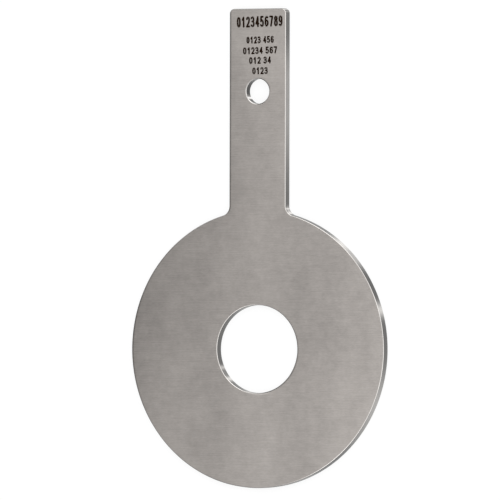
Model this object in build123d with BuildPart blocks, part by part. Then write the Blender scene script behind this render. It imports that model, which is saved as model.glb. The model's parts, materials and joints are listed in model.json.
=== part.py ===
from build123d import *
import os

# Paddle type orifice plate: one flat piece of stainless steel that is clamped between two pipe flanges.
# Frame: the origin is in the middle of the bore, half way through the plate.
# +Z is the bore axis and points out of the inlet face, and +Y runs along the tab to its free end.
# All sizes are in millimetres.

# Disc
disc_diameter = 149.2
plate_thickness = 5.2
bore_diameter = 47.2

# Tab that stays outside the flanges
tab_length = 108.2
tab_width = 33.4
tab_corner_radius = 2.6
neck_radius = 5.3

# Small round that breaks the edges of the outline and the bore on both faces
edge_round = 0.6

# Drilled hole in the tab, measured back from the tab's free end, and countersunk lightly on both faces
tab_hole_diameter = 13.5
tab_hole_inset = 44.4
tab_hole_chamfer = 0.4

disc_radius = disc_diameter / 2
tab_end = disc_radius + tab_length
tab_hole_centre = tab_end - tab_hole_inset

with BuildPart() as orifice_plate:
    # The outline starts as a full disc with a straight tab laid over it
    with BuildSketch() as outline:
        Circle(disc_radius)
        Rectangle(tab_width, tab_end, align=(Align.CENTER, Align.MIN))
        # The tab's sides run into the rim in two hollow curves
        neck_corners = outline.vertices().group_by(Axis.Y)[-2]
        fillet(neck_corners, neck_radius)
        # The tab's free end has two small round corners
        end_corners = outline.vertices().group_by(Axis.Y)[-1]
        fillet(end_corners, tab_corner_radius)
    extrude(amount=plate_thickness / 2, both=True)

    # The bore is straight through the plate, with no bevel on either side
    Hole(bore_diameter / 2)

    # Rounds along the outline and the bore, on both faces
    flat_faces = orifice_plate.faces().filter_by(Axis.Z)
    fillet(flat_faces.edges(), edge_round)

    # The tab hole is drilled last, and its two rims are chamfered
    with Locations((0, tab_hole_centre)):
        Hole(tab_hole_diameter / 2)
    tab_hole_rims = orifice_plate.edges(Select.LAST).filter_by(GeomType.CIRCLE)
    chamfer(tab_hole_rims, tab_hole_chamfer)

orifice_plate.part.label = "orifice_plate"

os.makedirs("parts", exist_ok=True)
export_step(orifice_plate.part, "parts/orifice_plate.step")
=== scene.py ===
"""A stainless steel orifice plate, lying on a pale studio floor and seen from high on its right side."""
import json
import math
from collections import namedtuple

import bpy
import numpy as np
from bpy.props import FloatProperty, FloatVectorProperty, PointerProperty
from mathutils import Matrix, Vector
from mathutils.geometry import delaunay_2d_cdt, tessellate_polygon


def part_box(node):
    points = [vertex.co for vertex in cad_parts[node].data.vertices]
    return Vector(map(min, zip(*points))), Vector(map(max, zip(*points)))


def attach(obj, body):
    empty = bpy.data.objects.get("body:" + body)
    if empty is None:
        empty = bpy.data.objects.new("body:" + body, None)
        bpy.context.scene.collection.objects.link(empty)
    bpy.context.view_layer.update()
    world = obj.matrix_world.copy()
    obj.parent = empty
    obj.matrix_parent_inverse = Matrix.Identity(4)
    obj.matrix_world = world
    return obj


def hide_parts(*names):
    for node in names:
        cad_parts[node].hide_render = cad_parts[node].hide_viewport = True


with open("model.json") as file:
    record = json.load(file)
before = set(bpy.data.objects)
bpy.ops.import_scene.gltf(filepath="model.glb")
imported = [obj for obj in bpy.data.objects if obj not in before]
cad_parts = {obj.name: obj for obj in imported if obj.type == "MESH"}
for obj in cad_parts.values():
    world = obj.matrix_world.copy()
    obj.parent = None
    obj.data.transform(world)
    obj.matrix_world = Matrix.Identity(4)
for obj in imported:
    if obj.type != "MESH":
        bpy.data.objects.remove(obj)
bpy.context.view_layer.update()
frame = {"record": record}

bl_info = {
    "name": "Orifice plate looks",
    "version": (1, 0, 0),
    "blender": (4, 5, 0),
    "location": "View3D > Sidebar > Orifice plate",
    "description": "Finishes a packed orifice plate in brushed steel, marks its tab and lights it",
    "category": "Object",
}

NODE = "orifice_plate"
MM = 0.001
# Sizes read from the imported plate, in metres
LOW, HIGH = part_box(NODE)
FACE_HEIGHT = HIGH.z
TAB_END = HIGH.y
DISC_RADIUS = HIGH.x
MOUNTS = {mount["name"]: mount for mount in frame["record"]["mounts"]}
BORE_RADIUS = MOUNTS["bore"]["dims"]["r_mm"] * MM
WALL_HALF = MOUNTS["bore"]["dims"]["length_mm"] / 2 * MM
HOLE_RADIUS = MOUNTS["tab_hole"]["dims"]["r_mm"] * MM
HOLE_PLACE = MOUNTS["tab_hole"]["pos_m"][:2]

# Points of the plate's outline that are closer together than this, in metres, are one point
SAME_POINT = 1e-7
# Points of the digits that agree to this many decimals of a millimetre are one point
DIGIT_DECIMALS = 4
# The same limit for a net of triangles, in millimetres, a little finer
NET_CLOSENESS = 1e-5
# What delaunay_2d_cdt keeps of its net: all of it, or what lies inside the loops
WHOLE_NET, INSIDE_LOOPS = 0, 1

# The share of Z in a surface's normal where the steel changes from wall to edge, and from edge to face
WALL_LEAN = (0.56, 0.70)
FACE_LEAN = (0.90, 0.985)
# Painted shade on the face, as soft darker patches: each one's middle and its reach, in mm, and how much
# darker the steel is painted there
PAINTED_SHADE_PATCHES = (
    (-72, 26, 62, 0.15),
    (52, 20, 84, 0.13),
    (54, 54, 27, 0.09),
    (24, -72, 36, 0.06),
    (58, -42, 24, 0.03),
    (-24, 74, 34, 0.06),
)
# Soft painted highlights on the face, at the rim's right side, the tab's end and the tab's right side: which
# way each one grows and between which two places, in mm, and how much brighter the steel is painted there.
# Out is away from the disc's middle, across is to the right of it, and along is towards the tab's end
PAINTED_HIGHLIGHTS = (
    ([("out", 62, 75), ("across", 49, 68)], 0.11),
    ([("along", 118, 165)], 0.12),
    ([("along", 78, 100), ("across", 0, 16)], 0.06),
)
# The painted glint in the wall of the right neck: its middle and its reach, in mm, and how much brighter it
# is painted
PAINTED_NECK_GLINT = (17.4, 74.2, 4, 3.5)
# The painted shine along the tab's walls: where it grows and where it fades, in mm, and how much brighter it
# is painted
PAINTED_TAB_SHINE = ((80, 125), (145, 172), 1.5)
# The brighter and the darker side of the studio's walls: the way to it, and how far along that way a look
# has to point, from -1 to 1, for the change to start and to be whole
BRIGHT_SIDE = ((0.62, 0.76, 0.2), (0.0, 0.6))
DARK_SIDE = ((-1.0, 0.0, 0.0), (0.6, 0.95))

# A stretch of edge seen from above: its points, and at each point the level way out of the steel
Path = namedtuple("Path", "points ways")
# A section across an edge, from the upper face down to the lower one: how far each point lies back from the
# outline, its height, and how each strip between two points leans at its upper and at its lower side
Section = namedtuple("Section", "inset height lean_above lean_below")


class Value:
    """A shader socket, wrapped so that Python arithmetic on it adds Math nodes."""

    def __init__(self, graph, socket):
        self.graph = graph
        self.socket = socket

    def _math(self, operation, *operands):
        return self.graph.add("ShaderNodeMath", {"operation": operation}, dict(enumerate(operands)))

    def __add__(self, other):
        return self._math("ADD", self, other)

    def __sub__(self, other):
        return self._math("SUBTRACT", self, other)

    def __rsub__(self, other):
        return self._math("SUBTRACT", other, self)

    def __mul__(self, other):
        return self._math("MULTIPLY", self, other)

    def __abs__(self):
        return self._math("ABSOLUTE", self)

    __radd__ = __add__
    __rmul__ = __mul__

    def larger(self, other):
        """The larger of two values."""
        return self._math("MAXIMUM", self, other)


class Graph:
    """The node tree of one material or of the world, and one method that adds any node to it."""

    def __init__(self, owner):
        owner.use_nodes = True
        self.tree = owner.node_tree
        self.tree.nodes.clear()

    def add(self, kind, settings=None, sockets=None, output=0):
        """Adds a node, sets it up, then gives its inputs values or links. Returns one of its outputs."""
        node = self.tree.nodes.new(kind)
        for name, value in (settings or {}).items():
            setattr(node, name, value)
        for key, value in (sockets or {}).items():
            if isinstance(value, Value):
                self.tree.links.new(value.socket, node.inputs[key])
            else:
                node.inputs[key].default_value = value
        return Value(self, node.outputs[output]) if node.outputs else None

    def step(self, value, low, high):
        """A smooth step from 0 at low to 1 at high."""
        settings = {"interpolation_type": "SMOOTHSTEP"}
        return self.add("ShaderNodeMapRange", settings, {"Value": value, "From Min": low, "From Max": high})

    def blend(self, factor, first, second):
        """A colour between first and second."""
        # Sockets 6 and 7 and output 2 are the Mix node's places for colours
        sockets = {"Factor": factor, 6: first, 7: second}
        return self.add("ShaderNodeMix", {"data_type": "RGBA"}, sockets, output=2)

    def scaled(self, colour, factor):
        """A fixed colour multiplied by a varying value."""
        sockets = {0: colour[:], "Scale": factor}
        return self.add("ShaderNodeVectorMath", {"operation": "SCALE"}, sockets)

    def part(self, vector, axis):
        """A vector's share on X, Y or Z, which are 0, 1 and 2."""
        return self.add("ShaderNodeSeparateXYZ", None, {"Vector": vector}, output=axis)

    def attribute(self, name):
        """A number that the mesh keeps at each point."""
        return self.add("ShaderNodeAttribute", {"attribute_name": name}, output="Fac")

    def wave(self, value, length, crest):
        """A wave between -1 and 1 that repeats every length and has a crest at crest."""
        turn = (value - crest) * (2 * math.pi / length)
        return self.add("ShaderNodeMath", {"operation": "COSINE"}, {0: turn})

    def along(self, vector, way):
        """How far a vector points along a fixed way."""
        sockets = {0: vector, 1: way}
        return self.add("ShaderNodeVectorMath", {"operation": "DOT_PRODUCT"}, sockets, output="Value")

    def near(self, place, centre, reach):
        """1 at a point, and smoothly less away from it, to 0 beyond reach."""
        sockets = {0: place, 1: centre}
        distance = self.add("ShaderNodeVectorMath", {"operation": "DISTANCE"}, sockets, output="Value")
        return 1 - self.step(distance, 0.0, reach)

    def noise(self, place, stretch, detail=2.0, roughness=0.5, seed=0.0):
        """Noise around 0, with features stretch metres long on X, Y and Z."""
        scale = [1.0 / length for length in stretch]
        sockets = {"Vector": place, "Location": (seed, seed, seed), "Scale": scale}
        vector = self.add("ShaderNodeMapping", {"vector_type": "POINT"}, sockets)
        sockets = {"Vector": vector, "Scale": 1.0, "Detail": detail, "Roughness": roughness}
        return self.add("ShaderNodeTexNoise", {"noise_dimensions": "3D"}, sockets) - 0.5


class PlateForm(bpy.types.PropertyGroup):
    """The sizes of the plate's outline and edges that its box and its mounts don't give."""

    tab_width: FloatProperty(
        name="Tab width", description="Width of the tab", unit="LENGTH", default=33.4 * MM,
    )
    neck_radius: FloatProperty(
        name="Neck radius", description="Radius of the hollow curves between the rim and the tab",
        unit="LENGTH", default=5.3 * MM,
    )
    corner_radius: FloatProperty(
        name="Corner radius", description="Radius of the two corners at the tab's free end", unit="LENGTH",
        default=2.6 * MM,
    )
    hole_chamfer: FloatProperty(
        name="Hole chamfer", description="Width of the chamfer round the tab hole", unit="LENGTH",
        default=0.4 * MM,
    )
    # The border strip carries painted highlights and shade beside each edge
    border: FloatProperty(
        name="Border", description="Width of the strip beside each edge where the finish changes",
        unit="LENGTH", default=0.8 * MM,
    )


class PlateFinish(bpy.types.PropertyGroup):
    """Sizes and colours of the plate's finish."""

    steel: FloatVectorProperty(
        name="Steel", description="Colour of the ground faces", subtype="COLOR", size=3,
        min=0, max=1, default=(0.287, 0.268, 0.253),
    )
    edge: FloatVectorProperty(
        name="Edges", description="Colour of the polished rounds and chamfers along the edges",
        subtype="COLOR", size=3, min=0, max=1, default=(0.62, 0.60, 0.58),
    )
    # The walls' dark colour is painted shade for the dark reflections they show, and their bright streaks
    # are painted reflections
    wall: FloatVectorProperty(
        name="Walls", description="Colour of the rim and of the holes' walls between their bright streaks",
        subtype="COLOR", size=3, min=0, max=1, default=(0.13, 0.126, 0.121),
    )
    grain_length: FloatProperty(
        name="Grain length", description="Length of the short brush marks", unit="LENGTH", default=1.9 * MM,
    )
    line_length: FloatProperty(
        name="Line length", description="Length of the long brush lines across the tab", unit="LENGTH",
        default=14 * MM,
    )
    grain_width: FloatProperty(
        name="Grain width", description="Width of one brush line", unit="LENGTH", default=0.6 * MM,
    )
    patch_size: FloatProperty(
        name="Patch size", description="Size of the small soft patches", unit="LENGTH", default=4.5 * MM,
    )
    cloud_size: FloatProperty(
        name="Cloud size", description="Size of the large light and dark clouds", unit="LENGTH",
        default=15 * MM,
    )
    cloud_stretch: FloatProperty(
        name="Cloud stretch", description="How many times longer than wide a cloud is, along the plate",
        default=1.5,
    )
    band_size: FloatProperty(
        name="Band size", description="From one of the faint light bands along the plate to the next",
        unit="LENGTH", default=54 * MM,
    )
    band_place: FloatProperty(
        name="Band place", description="Middle of one of those bands, right of the bore's axis",
        unit="LENGTH", default=1 * MM,
    )
    turning_width: FloatProperty(
        name="Turning width", description="Width of a tool mark on the turned walls", unit="LENGTH",
        default=0.3 * MM,
    )
    turning_length: FloatProperty(
        name="Turning length", description="Length of a tool mark on the turned walls", unit="LENGTH",
        default=3 * MM,
    )
    grain_depth: FloatProperty(
        name="Grain depth", description="How much the short brush marks change the tone", default=0.3,
    )
    line_depth: FloatProperty(
        name="Line depth", description="How much the long brush lines change the tone", default=0.26,
    )
    patch_depth: FloatProperty(
        name="Patch depth", description="How much the patches change the tone", default=0.2,
    )
    cloud_depth: FloatProperty(
        name="Cloud depth", description="How much the clouds change the tone", default=0.22,
    )
    band_depth: FloatProperty(
        name="Band depth", description="How much the bands change the tone", default=0.045,
    )
    turning_depth: FloatProperty(
        name="Turning depth", description="How much the tool marks change the walls' tone", default=0.5,
    )
    edge_turning_depth: FloatProperty(
        name="Edge turning depth", description="How much the tool marks change the edges' tone", default=0.1,
    )
    line_dulling: FloatProperty(
        name="Line dulling", description="How much the long brush lines change the faces' roughness",
        default=0.12,
    )
    cloud_dulling: FloatProperty(
        name="Cloud dulling", description="How much the clouds change the faces' roughness", default=0.08,
    )
    face_roughness: FloatProperty(
        name="Face roughness", description="Roughness of the ground faces", subtype="FACTOR", min=0, max=1,
        default=0.35,
    )
    edge_roughness: FloatProperty(
        name="Edge roughness", description="Roughness of the polished edges", subtype="FACTOR", min=0,
        max=1, default=0.22,
    )
    wall_roughness: FloatProperty(
        name="Wall roughness", description="Roughness of the turned walls", subtype="FACTOR", min=0, max=1,
        default=0.28,
    )
    relief: FloatProperty(
        name="Relief", description="Height of the brush marks' relief", unit="LENGTH", default=0.02 * MM,
    )
    relief_strength: FloatProperty(
        name="Relief strength", description="How strongly the relief turns the light", subtype="FACTOR",
        min=0, max=1, default=0.25,
    )


class TabDigits(bpy.types.PropertyGroup):
    """Sizes and colour of the rows of digits on the tab."""

    ink: FloatVectorProperty(
        name="Mark", description="Colour of the dark laser mark", subtype="COLOR", size=3,
        min=0, max=1, default=(0.010, 0.005, 0.002),
    )
    large_height: FloatProperty(
        name="Large digits", description="Height of the digits in the first row", unit="LENGTH",
        default=6.0 * MM,
    )
    small_height: FloatProperty(
        name="Small digits", description="Height of the digits in the other rows", unit="LENGTH",
        default=3.9 * MM,
    )
    large_weight: FloatProperty(
        name="Large weight", description="Width of a stroke in the first row", unit="LENGTH",
        default=1.03 * MM,
    )
    small_weight: FloatProperty(
        name="Small weight", description="Width of a stroke in the other rows", unit="LENGTH",
        default=0.83 * MM,
    )
    proud: FloatProperty(
        name="Proud", description="How far the mark's crust stands above the face", unit="LENGTH",
        default=0.02 * MM,
    )
    turn: FloatProperty(
        name="Turn", description="How far the rows are turned on the tab", unit="ROTATION",
        default=math.radians(1.2),
    )
    crust_size: FloatProperty(
        name="Crust size", description="Length of the crust's small patches", unit="LENGTH",
        default=0.6 * MM,
    )
    crust_depth: FloatProperty(
        name="Crust depth", description="How much the small patches change the crust's tone", default=0.8,
    )
    crust_roughness: FloatProperty(
        name="Crust roughness", description="Roughness of the crust", subtype="FACTOR", min=0, max=1,
        default=0.6,
    )
    crust_dulling: FloatProperty(
        name="Crust dulling", description="How much the small patches change the crust's roughness",
        default=0.2,
    )
    crust_gloss: FloatProperty(
        name="Crust gloss", description="How much the crust mirrors", subtype="FACTOR", min=0, max=1,
        default=0.02,
    )


class Studio(bpy.types.PropertyGroup):
    """Camera, light and floor."""

    lens: FloatProperty(
        name="Lens", description="Focal length of the camera", unit="CAMERA", default=600.0,
    )
    distance: FloatProperty(
        name="Camera distance", description="From the camera to the point it looks at", unit="LENGTH",
        default=4.4769,
    )
    elevation: FloatProperty(
        name="Camera elevation", description="Angle above the floor", unit="ROTATION",
        default=math.radians(65.02),
    )
    azimuth: FloatProperty(
        name="Camera azimuth", description="Angle from the plate's +X side", unit="ROTATION",
        default=math.radians(-1.07),
    )
    roll: FloatProperty(
        name="Camera roll", description="Turn of the picture", unit="ROTATION", default=math.radians(0.13),
    )
    aim: FloatVectorProperty(
        name="Aim", description="Point that the camera looks at", subtype="TRANSLATION", unit="LENGTH",
        size=3, default=(-5.5 * MM, 53.2 * MM, 0.0),
    )
    ceiling: FloatProperty(
        name="Ceiling power", description="Power of the large panel overhead", unit="POWER", default=5.8,
    )
    ceiling_size: FloatVectorProperty(
        name="Ceiling size", description="Width and length of the panel", unit="LENGTH", size=2,
        default=(1.2, 1.4),
    )
    ceiling_place: FloatVectorProperty(
        name="Ceiling place", description="Middle of the panel, which faces straight down",
        subtype="TRANSLATION", unit="LENGTH", size=3, default=(0.36, -0.03, 0.5),
    )
    ceiling_turn: FloatProperty(
        name="Ceiling turn", description="Turn of the panel, clockwise from the tab's way", unit="ROTATION",
        default=math.radians(11.53),
    )
    walls: FloatProperty(name="Walls", description="Brightness of the studio's walls", default=0.65)
    walls_bright: FloatProperty(
        name="Bright side", description="How much brighter the walls are on the right and beyond the tab",
        default=0.9,
    )
    walls_dark: FloatProperty(
        name="Dark side", description="How much darker the walls are low on the left", default=0.6,
    )
    floor_size: FloatProperty(
        name="Floor size", description="Side of the square floor", unit="LENGTH", default=8.0,
    )
    floor_gap: FloatProperty(
        name="Floor gap", description="Hairline between the plate's back and the floor", unit="LENGTH",
        default=0.03 * MM,
    )
    floor_tone: FloatProperty(
        name="Floor tone", description="How light the matt floor is", subtype="FACTOR", min=0, max=1,
        default=0.85,
    )
    floor_white: FloatProperty(
        name="Floor white", description="How much of plain white the floor shows in place of its shading",
        subtype="FACTOR", min=0, max=1, default=0.85,
    )


def arc(centre, radius, start, end, step=5.0, hollow=False):
    """A stretch of edge round a centre, from start to end degrees, with a point at each step.
    A point is centre + radius * (cos a, sin a). The way out of the steel is away from the centre, or towards
    it where the arc is hollow."""
    count = math.ceil(abs(end - start) / step) + 1
    angles = np.radians(np.linspace(start, end, count))
    spokes = np.stack([np.cos(angles), np.sin(angles)], 1)
    return Path(np.array(centre) + radius * spokes, -spokes if hollow else spokes)


def closed(*stretches):
    """The stretches joined by straight sides into one closed path, with no point twice."""
    points = np.concatenate([stretch.points for stretch in stretches])
    ways = np.concatenate([stretch.ways for stretch in stretches])
    apart = np.linalg.norm(points - np.roll(points, 1, axis=0), axis=1) > SAME_POINT
    return Path(points[apart], ways[apart])


def plate_outline(form):
    """The plate's outline, anticlockwise: the disc, a hollow neck, the tab's two corners and the other neck.
    A neck touches the disc and the tab's side: its centre is its own radius out from the side, and the two
    radii together away from the disc's centre."""
    half, neck, corner = form.tab_width / 2, form.neck_radius, form.corner_radius
    neck_x = half + neck
    neck_y = math.sqrt((DISC_RADIUS + neck) ** 2 - neck_x ** 2)
    meet = math.degrees(math.atan2(neck_y, neck_x))
    corner_x, corner_y = half - corner, TAB_END - corner
    return closed(
        arc((0, 0), DISC_RADIUS, 180 - meet, 360 + meet, step=0.75),
        arc((neck_x, neck_y), neck, 180 + meet, 180, hollow=True),
        arc((corner_x, corner_y), corner, 0, 90),
        arc((-corner_x, corner_y), corner, 90, 180),
        arc((-neck_x, neck_y), neck, 0, -meet, hollow=True),
    )


def bordered(inset, height, above, below, border):
    """A section that starts and ends with a flat strip of the face, border wide."""
    inset = np.concatenate([[inset[0] + border], inset, [inset[-1] + border]])
    height = np.concatenate([height[:1], height, height[-1:]])
    above, below = (np.concatenate([[(0, 1)], lean, [(0, -1)]]) for lean in (above, below))
    return Section(inset, height, above, below)


def rounded_edges(radius, border, steps=8):
    """The section of an edge that is rounded above and below: quarter circles r (1 - cos a) back from the
    outline and r sin a from where the straight wall ends, which join the faces and the wall smoothly."""
    quarter = np.radians(np.linspace(90, 0, steps + 1))
    angles = np.concatenate([quarter, -quarter[::-1]])
    wall = FACE_HEIGHT - radius
    middle = np.repeat([wall, -wall], steps + 1)
    lean = np.stack([np.cos(angles), np.sin(angles)], 1)
    return bordered(radius * (1 - lean[:, 0]), middle + radius * lean[:, 1], lean[:-1], lean[1:], border)


def chamfered_edges(width, border):
    """The section of an edge with a flat chamfer at 45 degrees above and below."""
    slope = math.sqrt(0.5)
    lean = np.array([(slope, slope), (1, 0), (slope, -slope)])
    inset = np.array([width, 0, 0, width])
    height = np.array([FACE_HEIGHT, FACE_HEIGHT - width, width - FACE_HEIGHT, -FACE_HEIGHT])
    return bordered(inset, height, lean, lean, border)


def swept(path, section):
    """A section carried along a closed path. Point (i, j) is points[i] - inset[j] * ways[i], at height[j].
    Returns the points as an array of rows, the quads between them, and the normals at the quads' corners."""
    points, ways = path
    inset, height, above, below = section
    level = points[:, None] - inset[None, :, None] * ways[:, None]
    rows = np.dstack([level, np.broadcast_to(height, level.shape[:2])])
    here = np.arange(len(points) * len(inset)).reshape(len(points), len(inset))
    after = np.roll(here, -1, axis=0)
    quads = np.stack([here[:, :-1], here[:, 1:], after[:, 1:], after[:, :-1]], 2)

    def leaning(lean):
        """The normals that the strips' leans give at each point of the path."""
        out = ways[:, None] * lean[None, :, :1]
        return np.dstack([out, np.broadcast_to(lean[:, 1], out.shape[:2])])

    upper, lower = leaning(above), leaning(below)
    normals = np.stack([upper, lower, np.roll(lower, -1, axis=0), np.roll(upper, -1, axis=0)], 2)
    return rows, quads.reshape(-1, 4), normals.reshape(-1, 3)


def filled(loops):
    """Triangles that fill the flat area between an outline and its holes, seen from above."""
    triangles = np.array(tessellate_polygon([[Vector(point) for point in loop] for loop in loops]))
    corners = np.concatenate(loops)[triangles]
    first, second = corners[:, 1] - corners[:, 0], corners[:, 2] - corners[:, 0]
    clockwise = first[:, 0] * second[:, 1] < first[:, 1] * second[:, 0]
    triangles[clockwise] = triangles[clockwise][:, ::-1]
    return triangles


def painted_tone_by_facing(ways, base, bumps):
    """How bright an edge is painted at each point, by the way it faces, in place of its highlights,
    reflections and shade:
    base, plus strength * exp(-(a / width)^2) for each streak, where a is how far the edge is turned away
    from it. A streak is given by the way that it faces and its width, both in degrees, and its strength."""
    facing = np.degrees(np.arctan2(ways[:, 1], ways[:, 0]))
    tone = np.full(len(facing), base)
    for centre, width, strength in bumps:
        away = (facing - centre + 180) % 360 - 180
        tone += strength * np.exp(-(away / width) ** 2)
    return tone


def painted_tones_by_edge():
    """Painted light by the way each edge faces: how bright the faces are painted beside each edge, with
    painted shade and highlights; the edge itself, with painted highlights and shade; and its wall, with
    painted reflections. Each has a tone for the whole edge and its streaks, each streak with the way it
    faces, its width in degrees, and its strength."""
    rim = {
        "face_painted_light": (1.0, [(176, 26, -0.45)]),
        "edge_painted_light": (0.45, [
            (-57, 20, 1.0), (-16, 26, 0.36), (20, 8, 0.25), (56, 20, 0.64), (70, 10, 0.28), (90, 12, 0.15),
            (118, 13, 0.4), (150, 16, -0.3), (178, 26, -0.42), (222, 16, 0.3),
        ]),
        "wall_painted_reflection": (0.8, [
            (-56, 10, -0.68), (-39, 6, 0.4), (-23, 14, 2.15), (16.5, 3, 4.2), (29, 8, -0.3), (40, 4, 2.4),
            (49, 5, 5.2), (67, 10, -0.3), (98, 7, 1.5), (128, 4, 4.0), (158, 7, 1.0), (218, 5, 4.0),
            (240, 9, 1.5), (262, 4, 3.0),
        ]),
    }
    bore = {
        "face_painted_light": (1.0, [(180, 40, -0.1), (150, 30, -0.26), (96, 14, 0.42)]),
        "edge_painted_light": (0.5, [
            (-70, 24, 0.75), (-35, 24, 0.3), (5, 20, 0.2), (56, 22, 0.68), (84, 14, 0.4), (104, 8, -0.26),
            (128, 26, -0.46), (172, 26, -0.3), (205, 24, -0.15),
        ]),
        "wall_painted_reflection": (0.85, [
            (-52, 14, -0.25), (25, 3, 3.2), (33, 5, 0.6), (43, 4, 5.0), (60, 9, -0.1), (77, 5, 2.6),
            (98, 9, -0.4), (142, 4, 3.5), (170, 7, 1.2), (214, 5, 4.0), (250, 8, 1.5),
        ]),
    }
    hole = {
        "face_painted_light": (1.0, [(180, 40, -0.1), (216, 34, -0.28)]),
        "edge_painted_light": (0.55, [
            (-55, 24, 0.6), (-15, 15, 0.15), (45, 40, 0.4), (52, 20, 0.5), (80, 12, 0.35), (160, 40, -0.25),
            (215, 36, -0.45),
        ]),
        "wall_painted_reflection": (0.14, [
            (20, 6, 0.45), (31, 5, 4.2), (60, 12, 0.05), (130, 8, 1.5), (200, 6, 2.0), (275, 9, 0.8),
        ]),
    }
    return rim, bore, hole


def plate_mesh(form):
    """The plate as one closed mesh: three walls with their edges, and two flat faces between them."""
    rounds = rounded_edges(FACE_HEIGHT - WALL_HALF, form.border)
    chamfers = chamfered_edges(form.hole_chamfer, form.border)
    outlines = (
        (plate_outline(form), rounds),
        (closed(arc((0, 0), BORE_RADIUS, 360, 0, step=1.5, hollow=True)), rounds),
        (closed(arc(HOLE_PLACE, HOLE_RADIUS, 360, 0, hollow=True)), chamfers),
    )
    points, faces, normals, upper, lower, loops = [], [], [], [], [], []
    # Painted light at each point, by the way its edge faces: shade and highlights on the face's border,
    # highlights and shade on the edge, reflections on the wall
    tones = {"face_painted_light": [], "edge_painted_light": [], "wall_painted_reflection": []}
    count = 0
    for (path, section), looks in zip(outlines, painted_tones_by_edge()):
        rows, quads, quad_normals = swept(path, section)
        points.append(rows.reshape(-1, 3))
        faces += (quads + count).tolist()
        normals.append(quad_normals)
        across = rows.shape[1]
        for name, (base, bumps) in looks.items():
            tone = np.repeat(painted_tone_by_facing(path.ways, base, bumps)[:, None], across, axis=1)
            # The painted border light and shade fades into the face's own tone at its far sides
            if name == "face_painted_light":
                tone[:, [0, -1]] = 1
            tones[name].append(tone.ravel())
        first = count + np.arange(len(rows)) * across
        upper.append(first)
        lower.append(first + across - 1)
        loops.append(rows[:, 0, :2])
        count += rows.shape[0] * across
    triangles = filled(loops)
    faces += np.concatenate(upper)[triangles].tolist()
    faces += np.concatenate(lower)[triangles[:, ::-1]].tolist()
    flat = np.repeat([(0.0, 0.0, 1.0), (0.0, 0.0, -1.0)], triangles.size, axis=0)

    mesh = bpy.data.meshes.new("plate")
    mesh.from_pydata(np.concatenate(points).tolist(), [], faces, shade_flat=False)
    mesh.normals_split_custom_set(np.concatenate([*normals, flat]).tolist())
    for name, parts in tones.items():
        tone = mesh.attributes.new(name, "FLOAT", "POINT")
        tone.data.foreach_set("value", np.concatenate(parts).astype(np.float32))
    return mesh


def painted_shade(graph, place):
    """How much darker the painted shade patches make the face."""
    return sum(
        graph.near(place, (x * MM, y * MM, 0), reach * MM) * depth for x, y, reach, depth in PAINTED_SHADE_PATCHES
    )


def painted_highlight(graph, place):
    """How much brighter the soft painted highlights make the face."""
    out = graph.add("ShaderNodeVectorMath", {"operation": "LENGTH"}, {0: place}, output="Value")
    measures = {"out": out, "across": graph.part(place, 0), "along": graph.part(place, 1)}
    total = 0
    for ramps, strength in PAINTED_HIGHLIGHTS:
        for name, low, high in ramps:
            strength = graph.step(measures[name], low * MM, high * MM) * strength
        total = total + strength
    return total


def painted_wall_reflections(graph, place):
    """How bright the walls are painted: streaks of painted reflection, the painted glint in the neck and the
    painted shine along the tab.
    """
    x, y, reach, glint = PAINTED_NECK_GLINT
    neck = graph.near(place, (x * MM, y * MM, 0), reach * MM) * glint
    along = graph.part(place, 1)
    grows, fades = (graph.step(along, low * MM, high * MM) for low, high in PAINTED_TAB_SHINE[:2])
    return (graph.attribute("wall_painted_reflection") + neck) * (1 + (grows - fades) * PAINTED_TAB_SHINE[2])


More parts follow.
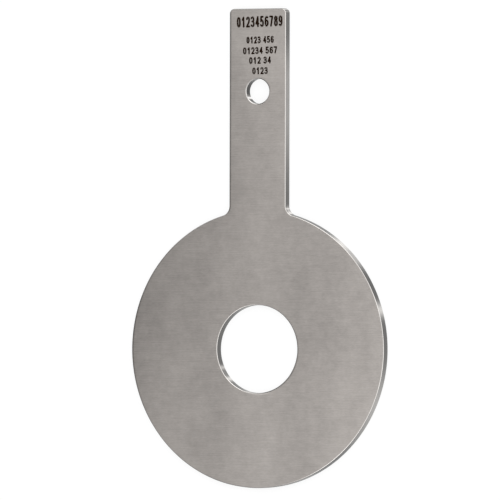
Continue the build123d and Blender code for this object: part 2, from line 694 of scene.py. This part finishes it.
def brushed_steel(finish):
    """The plate's steel: faces ground across the tab, rounded edges polished, rim and bore walls turned.
    Their colours carry painted highlights, reflections and shade. How steeply the surface leans tells the
    three apart."""
    material = bpy.data.materials.new("brushed_steel")
    graph = Graph(material)
    place = graph.add("ShaderNodeTexCoord", output="Object")
    normal = graph.add("ShaderNodeTexCoord", output="Normal")
    upright = abs(graph.part(normal, 2))
    on_face = graph.step(upright, *FACE_LEAN)
    on_wall = 1 - graph.step(upright, *WALL_LEAN)

    # The patterns on the faces are a whole metre long on Z, so that they don't change with height
    grain = graph.noise(place, (finish.grain_length, finish.grain_width, 1), roughness=0.6)
    line = graph.noise(place, (finish.line_length, finish.grain_width, 1), seed=3.1)
    patch = graph.noise(place, (finish.patch_size, finish.patch_size, 1), detail=1, seed=5.2)
    cloud_length = finish.cloud_size * finish.cloud_stretch
    cloud = graph.noise(place, (finish.cloud_size, cloud_length, 1), detail=1, seed=1.3)
    band = graph.wave(graph.part(place, 0), finish.band_size, finish.band_place)
    brushing = (
        grain * finish.grain_depth + line * finish.line_depth + patch * finish.patch_depth
        + cloud * finish.cloud_depth + band * finish.band_depth
    )
    # Painted shade and highlights beside each edge, kept by the mesh
    border_painted_light = graph.attribute("face_painted_light")
    # The glows are painted highlights and the stains are painted shade, laid over the brushing's own tone
    face_tone = (1 + brushing + painted_highlight(graph, place) - painted_shade(graph, place)) * border_painted_light

    turning = (finish.turning_length, finish.turning_length, finish.turning_width)
    turned = graph.noise(place, turning, seed=7.7)
    # The edges' tone is painted highlights and shade by the way they face, with real tool marks over them
    edge_tone = graph.attribute("edge_painted_light") * (1 + turned * finish.edge_turning_depth)
    # The walls' tone is painted reflections, with real tool marks over them
    wall_tone = painted_wall_reflections(graph, place) * (1 + turned * finish.turning_depth)

    face_colour = graph.scaled(finish.steel, face_tone)
    edge_colour = graph.scaled(finish.edge, edge_tone)
    wall_colour = graph.scaled(finish.wall, wall_tone)
    colour = graph.blend(on_wall, graph.blend(on_face, edge_colour, face_colour), wall_colour)
    face_duller = finish.face_roughness - finish.edge_roughness
    face_duller = face_duller + line * finish.line_dulling + cloud * finish.cloud_dulling
    wall_duller = finish.wall_roughness - finish.edge_roughness
    roughness = finish.edge_roughness + on_face * face_duller + on_wall * wall_duller
    marks = (grain + line) * on_face
    sockets = {"Strength": finish.relief_strength, "Distance": finish.relief, "Height": marks}
    bump = graph.add("ShaderNodeBump", None, sockets)
    sockets = {"Base Color": colour, "Metallic": 1.0, "Roughness": roughness, "Normal": bump}
    surface = graph.add("ShaderNodeBsdfPrincipled", None, sockets)
    graph.add("ShaderNodeOutputMaterial", None, {"Surface": surface})
    return material


def laser_mark(digits):
    """A dark, dull oxide crust, a little patchy."""
    material = bpy.data.materials.new("laser_mark")
    graph = Graph(material)
    place = graph.add("ShaderNodeTexCoord", output="Object")
    patch = graph.noise(place, (digits.crust_size, digits.crust_size / 2, digits.crust_size / 2))
    colour = graph.scaled(digits.ink, 1 + patch * digits.crust_depth)
    roughness = digits.crust_roughness + patch * digits.crust_dulling
    sockets = {"Base Color": colour, "Roughness": roughness, "Specular IOR Level": digits.crust_gloss}
    surface = graph.add("ShaderNodeBsdfPrincipled", None, sockets)
    graph.add("ShaderNodeOutputMaterial", None, {"Surface": surface})
    return material


def bow(centre_x, centre_y, half_width, half_height, start, end, step=18, power=0.8):
    """A stretch of a squarish oval, from start to end degrees, with a point at each step.
    A point is centre + half size * (cos a, sin a), with the size of each share raised to a power."""
    angles = np.radians(np.linspace(start, end, math.ceil(abs(end - start) / step) + 1))
    shares = np.stack([np.cos(angles), np.sin(angles)], 1)
    shares = np.sign(shares) * np.abs(shares) ** power
    return shares * (half_width, half_height) + (centre_x, centre_y)


def digit_strokes(digit):
    """The middle lines of a digit's strokes, in a box from (0, 0) to (1, 1)."""
    six_bowl = bow(0.5, 0.31, 0.5, 0.31, 0, 360)
    six_back = np.vstack([bow(0.56, 0.5, 0.56, 0.5, 48, 180), [(0.0, 0.31)]])
    strokes = {
        "0": [bow(0.5, 0.5, 0.5, 0.5, 0, 360)],
        "1": [[(0.6, 0.0), (0.6, 1.0)], [(0.6, 1.0), (0.15, 0.74)]],
        "2": [np.vstack([bow(0.5, 0.7, 0.5, 0.3, 165, -30), [(0.0, 0.0)]]), [(0.0, 0.0), (1.0, 0.0)]],
        "3": [
            np.vstack([bow(0.45, 0.76, 0.48, 0.24, 155, -75), [(0.3, 0.53)]]),
            np.vstack([[(0.3, 0.53)], bow(0.46, 0.27, 0.54, 0.27, 75, -155)]),
        ],
        "4": [[(0.74, 0.0), (0.74, 1.0)], [(0.74, 1.0), (0.0, 0.28)], [(0.0, 0.28), (1.0, 0.28)]],
        "5": [
            [(0.92, 1.0), (0.14, 1.0)], [(0.14, 1.0), (0.06, 0.52)],
            np.vstack([[(0.06, 0.52)], bow(0.46, 0.32, 0.54, 0.32, 110, -150)]),
        ],
        "6": [six_bowl, six_back],
        "7": [[(0.0, 1.0), (1.0, 1.0)], [(1.0, 1.0), (0.36, 0.0)]],
        "8": [bow(0.5, 0.77, 0.43, 0.23, 0, 360), bow(0.5, 0.27, 0.5, 0.27, 0, 360)],
        "9": [1 - six_bowl, 1 - six_back],
    }
    return [np.array(stroke) for stroke in strokes[digit]]


def ribbon(line, weight, dot_step=30):
    """Convex shapes that cover a stroke: a quad along each piece of its middle line, and round dots.
    A quad's corners lie half the weight to each side of the line. A dot has that radius and a point at each
    step in degrees, and lies on each end of the line."""
    along = np.diff(line, axis=0)
    along = along / np.linalg.norm(along, axis=1)[:, None]
    side = np.stack([-along[:, 1], along[:, 0]], 1) * weight / 2
    quads = np.stack([line[:-1] - side, line[1:] - side, line[1:] + side, line[:-1] + side], 1)
    angles = np.radians(np.arange(0, 360, dot_step))
    dot = np.stack([np.cos(angles), np.sin(angles)], 1) * weight / 2
    return [*quads, line[0] + dot, line[-1] + dot]


def digit_row(text, height, width, weight, fill=0.86, space=0.5):
    """The convex shapes of a row of digits, width by height, centred on (0, 0), in millimetres.
    Each digit fills the share fill of its cell, and a blank is the share space of a cell wide."""
    cells = sum(space if mark == " " else 1 for mark in text)
    cell = width / (cells + fill - 1)
    box = np.array([fill * cell - weight, height - weight])
    corner = np.array([-width / 2 + weight / 2, -height / 2 + weight / 2])
    shapes = []
    for mark in text:
        if mark != " ":
            for stroke in digit_strokes(mark):
                shapes += ribbon(corner + stroke * box, weight)
        corner[0] += cell * space if mark == " " else cell
    return shapes


def net(points, edges, loops, kept):
    """A flat net of triangles through points, edges and loops: its points, its triangles, and for each
    triangle the loops that it lies in."""
    found = delaunay_2d_cdt([Vector(point) for point in points], edges, loops, kept, NET_CLOSENESS)
    return np.array([point[:] for point in found[0]]), np.array(found[2]), found[5]


def outer_sides(triangles):
    """The sides of triangles that have no other triangle beyond them: they make the outline of the whole.
    Such a side, from one point to another, isn't the side of any triangle the other way round."""
    sides = np.concatenate([triangles[:, [0, 1]], triangles[:, [1, 2]], triangles[:, [2, 0]]])
    count = sides.max() + 1
    there, back = sides[:, 0] * count + sides[:, 1], sides[:, 1] * count + sides[:, 0]
    return sides[~np.isin(there, back)]


def enclosed(places, starts, ends):
    """Which places lie inside an outline whose sides run from starts to ends.
    From a place inside it, a ray to the right crosses an odd number of sides. It crosses a side that has one
    end above the place and one below, at start x + (end x - start x) (y - start y) / (end y - start y)."""
    x, y = places[:, :1], places[:, 1:]
    crossed = (starts[:, 1] > y) != (ends[:, 1] > y)
    rise = np.where(starts[:, 1] == ends[:, 1], 1, ends[:, 1] - starts[:, 1])
    crossing = starts[:, 0] + (ends[:, 0] - starts[:, 0]) * (y - starts[:, 1]) / rise
    return (crossed & (x < crossing)).sum(axis=1) % 2 == 1


def melted(shapes):
    """Overlapping shapes melted into one: the points of its outline, and triangles between them.
    A first net gives the outline. A second one, of the outline alone, has no slivers where shapes cross."""
    ends = np.cumsum([len(shape) for shape in shapes])
    loops = [list(range(end - len(shape), end)) for shape, end in zip(shapes, ends)]
    points, triangles, owners = net(np.concatenate(shapes), [], loops, INSIDE_LOOPS)
    covered = triangles[[bool(owner) for owner in owners]]
    # Points that agree become one, and triangles that lose a side by it go
    points, same = np.unique(points.round(DIGIT_DECIMALS), axis=0, return_inverse=True)
    covered = same.ravel()[covered]
    covered = covered[(covered != np.roll(covered, -1, axis=1)).all(axis=1)]
    used, sides = np.unique(outer_sides(covered), return_inverse=True)
    sides = sides.reshape(-1, 2)
    points, triangles, _ = net(points[used], sides.tolist(), [], WHOLE_NET)
    middles = points[triangles].mean(axis=1)
    return points, triangles[enclosed(middles, points[sides[:, 0]], points[sides[:, 1]])]


def crust_mesh(name, shapes, place, digits):
    """Overlapping shapes as one thin closed slab on the tab, with a wall below each side of their outline.
    A point (u, v) of the row goes to place + turn(u, v), and to a little above or below the plate's face."""
    points, covered = melted(shapes)
    used, covered = np.unique(covered, return_inverse=True)
    covered = covered.reshape(-1, 3)
    u, v = points[used].T * MM
    x = place[0] + u * math.cos(digits.turn) - v * math.sin(digits.turn)
    y = place[1] + u * math.sin(digits.turn) + v * math.cos(digits.turn)
    count = len(x)
    z = FACE_HEIGHT + np.repeat([digits.proud, -digits.proud], count)
    points = np.stack([np.tile(x, 2), np.tile(y, 2), z], 1)
    rim = outer_sides(covered)
    walls = np.stack([rim[:, 0], rim[:, 0] + count, rim[:, 1] + count, rim[:, 1]], 1)
    mesh = bpy.data.meshes.new(name)
    faces = [*covered.tolist(), *(covered[:, ::-1] + count).tolist(), *walls.tolist()]
    mesh.from_pydata(points.tolist(), [], faces)
    return mesh


def add_piece(name, mesh, material):
    """Puts a finished mesh in the scene as a piece of the plate."""
    mesh.materials.append(material)
    piece = bpy.data.objects.new(name, mesh)
    bpy.context.scene.collection.objects.link(piece)
    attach(piece, "root")
    return piece


class ORIFICE_OT_make_plate(bpy.types.Operator):
    """Makes the plate with smooth edges and gives it its brushed and turned steel"""

    bl_idname = "orifice.make_plate"
    bl_label = "Make the plate"

    def execute(self, context):
        mesh = plate_mesh(context.scene.plate_form)
        plate = add_piece("steel_plate", mesh, brushed_steel(context.scene.plate_finish))
        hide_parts(NODE)
        return {"FINISHED"}


class ORIFICE_OT_mark_tab(bpy.types.Operator):
    """Puts rows of plain counting digits on the tab"""

    bl_idname = "orifice.mark_tab"
    bl_label = "Mark the tab"

    def execute(self, context):
        digits = context.scene.tab_digits
        large = (digits.large_height / MM, digits.large_weight / MM)
        small = (digits.small_height / MM, digits.small_weight / MM)
        # Each row: its digits, their height and weight, its width, and its middle's distance to the right of
        # the tab's middle line and from the tab's end, in mm
        rows = [
            ("0123456789", large, 27.1, 1.1, 7.0),
            ("0123 456", small, 16.2, 1.4, 16.8),
            ("01234 567", small, 20.2, 1.4, 22.5),
            ("012 34", small, 13.0, 1.4, 27.8),
            ("0123", small, 9.2, 1.4, 33.4),
        ]
        material = laser_mark(digits)
        for number, (text, (height, weight), width, aside, drop) in enumerate(rows, start=1):
            name = f"digit_row_{number}"
            place = (aside * MM, TAB_END - drop * MM)
            shapes = digit_row(text, height, width, weight)
            add_piece(name, crust_mesh(name, shapes, place, digits), material)
        return {"FINISHED"}


def looking(place, target, up=(0.0, 1.0, 0.0), roll=0.0):
    """The matrix of a camera or lamp at place that looks at target, with up upwards in its view, and then
    turned by roll."""
    place, target = np.array(place), np.array(target)
    back = place - target
    back = back / np.linalg.norm(back)
    right = np.cross(up, back)
    right = right / np.linalg.norm(right)
    upward = np.cross(back, right)
    turned_right = right * math.cos(roll) + upward * math.sin(roll)
    turned_up = upward * math.cos(roll) - right * math.sin(roll)
    columns = np.stack([turned_right, turned_up, back, place], 1)
    return Matrix(np.vstack([columns, [0, 0, 0, 1]]).tolist())


def add_ceiling(studio):
    """An oblong soft panel that shines straight down. The camera doesn't see it."""
    lamp = bpy.data.lights.new("ceiling_panel", "AREA")
    lamp.shape = "RECTANGLE"
    lamp.size, lamp.size_y = studio.ceiling_size
    lamp.energy = studio.ceiling
    panel = bpy.data.objects.new("ceiling_panel", lamp)
    x, y, height = studio.ceiling_place
    up = (math.sin(studio.ceiling_turn), math.cos(studio.ceiling_turn), 0.0)
    panel.matrix_world = looking((x, y, height), (x, y, 0.0), up)
    panel.visible_camera = False
    bpy.context.scene.collection.objects.link(panel)


def seen_directly(graph):
    """1 for what the camera, a mirror or a see-through part looks at, 0 for light that falls on things."""
    names = ("Is Camera Ray", "Is Glossy Ray", "Is Transmission Ray")
    camera, glossy, through = (graph.add("ShaderNodeLightPath", output=name) for name in names)
    return camera.larger(glossy).larger(through)


def floor_material(studio):
    """A matt pale floor. What looks at it sees mostly plain white, and the rest carries the shadows.
    From below it is clear, so that the plate's back can be seen."""
    material = bpy.data.materials.new("floor")
    graph = Graph(material)
    tone = studio.floor_tone
    matt = graph.add("ShaderNodeBsdfDiffuse", None, {"Color": (tone, tone, tone, 1)})
    white = graph.add("ShaderNodeEmission", None, {"Color": (1, 1, 1, 1), "Strength": 1.0})
    share = seen_directly(graph) * studio.floor_white
    upper = graph.add("ShaderNodeMixShader", None, {0: share, 1: matt, 2: white})
    below = graph.add("ShaderNodeNewGeometry", output="Backfacing")
    clear = graph.add("ShaderNodeBsdfTransparent")
    surface = graph.add("ShaderNodeMixShader", None, {0: below, 1: upper, 2: clear})
    graph.add("ShaderNodeOutputMaterial", None, {"Surface": surface})
    return material


def studio_walls(studio):
    """The light of the studio's walls: brighter on the right and beyond the tab, darker low on the left.
    What the camera looks at is plain white."""
    world = bpy.data.worlds.new("studio_walls")
    graph = Graph(world)
    way = graph.add("ShaderNodeTexCoord", output="Generated")
    bright, dark = (graph.step(graph.along(way, side), *reach) for side, reach in (BRIGHT_SIDE, DARK_SIDE))
    looked_at = graph.add("ShaderNodeLightPath", output="Is Camera Ray")
    light = studio.walls * (1 + bright * studio.walls_bright - dark * studio.walls_dark)
    sockets = {"Color": (1, 1, 1, 1), "Strength": light * (1 - looked_at) + looked_at}
    shine = graph.add("ShaderNodeBackground", None, sockets)
    graph.add("ShaderNodeOutputWorld", None, {"Surface": shine})
    return world


class ORIFICE_OT_set_stage(bpy.types.Operator):
    """Makes the floor, the panel overhead, the light of the walls and the camera"""

    bl_idname = "orifice.set_stage"
    bl_label = "Set the stage"

    def execute(self, context):
        studio = context.scene.studio
        scene = context.scene
        scene.view_settings.view_transform = "Standard"
        scene.world = studio_walls(studio)
        add_ceiling(studio)

        half = studio.floor_size / 2
        mesh = bpy.data.meshes.new("floor")
        corners = [(-half, -half), (half, -half), (half, half), (-half, half)]
        level = LOW.z - studio.floor_gap
        mesh.from_pydata([(x, y, level) for x, y in corners], [], [(0, 1, 2, 3)])
        mesh.materials.append(floor_material(studio))
        floor = bpy.data.objects.new("floor", mesh)
        scene.collection.objects.link(floor)

        lens = bpy.data.cameras.new("camera")
        lens.lens = studio.lens
        camera = bpy.data.objects.new("camera", lens)
        flat, rise = math.cos(studio.elevation), math.sin(studio.elevation)
        way = (flat * math.cos(studio.azimuth), flat * math.sin(studio.azimuth), rise)
        place = np.array(studio.aim) + studio.distance * np.array(way)
        camera.matrix_world = looking(place, studio.aim, roll=studio.roll)
        scene.collection.objects.link(camera)
        scene.camera = camera
        return {"FINISHED"}


class ORIFICE_PT_steps(bpy.types.Panel):
    """Lists the steps and their sizes in the sidebar"""

    bl_label = "Orifice plate"
    bl_space_type = "VIEW_3D"
    bl_region_type = "UI"
    bl_category = "Orifice plate"

    def draw(self, context):
        scene = context.scene
        steps = [
            (ORIFICE_OT_make_plate, [scene.plate_form, scene.plate_finish]),
            (ORIFICE_OT_mark_tab, [scene.tab_digits]),
            (ORIFICE_OT_set_stage, [scene.studio]),
        ]
        for operator, groups in steps:
            box = self.layout.box()
            for settings in groups:
                for name in settings.__annotations__:
                    box.prop(settings, name)
            box.operator(operator.bl_idname)


CLASSES = (
    PlateForm,
    PlateFinish,
    TabDigits,
    Studio,
    ORIFICE_OT_make_plate,
    ORIFICE_OT_mark_tab,
    ORIFICE_OT_set_stage,
    ORIFICE_PT_steps,
)


def register():
    """Tells Blender of the classes, and gives the scene their sizes and colours."""
    for item in CLASSES:
        bpy.utils.register_class(item)
    bpy.types.Scene.plate_form = PointerProperty(type=PlateForm)
    bpy.types.Scene.plate_finish = PointerProperty(type=PlateFinish)
    bpy.types.Scene.tab_digits = PointerProperty(type=TabDigits)
    bpy.types.Scene.studio = PointerProperty(type=Studio)


def unregister():
    """Takes back all that register gave."""
    del bpy.types.Scene.studio
    del bpy.types.Scene.tab_digits
    del bpy.types.Scene.plate_finish
    del bpy.types.Scene.plate_form
    for item in reversed(CLASSES):
        bpy.utils.unregister_class(item)


def main():
    """Makes each piece and the stage in turn."""
    register()
    bpy.ops.orifice.make_plate()
    bpy.ops.orifice.mark_tab()
    bpy.ops.orifice.set_stage()


if __name__ == "__main__":
    main()
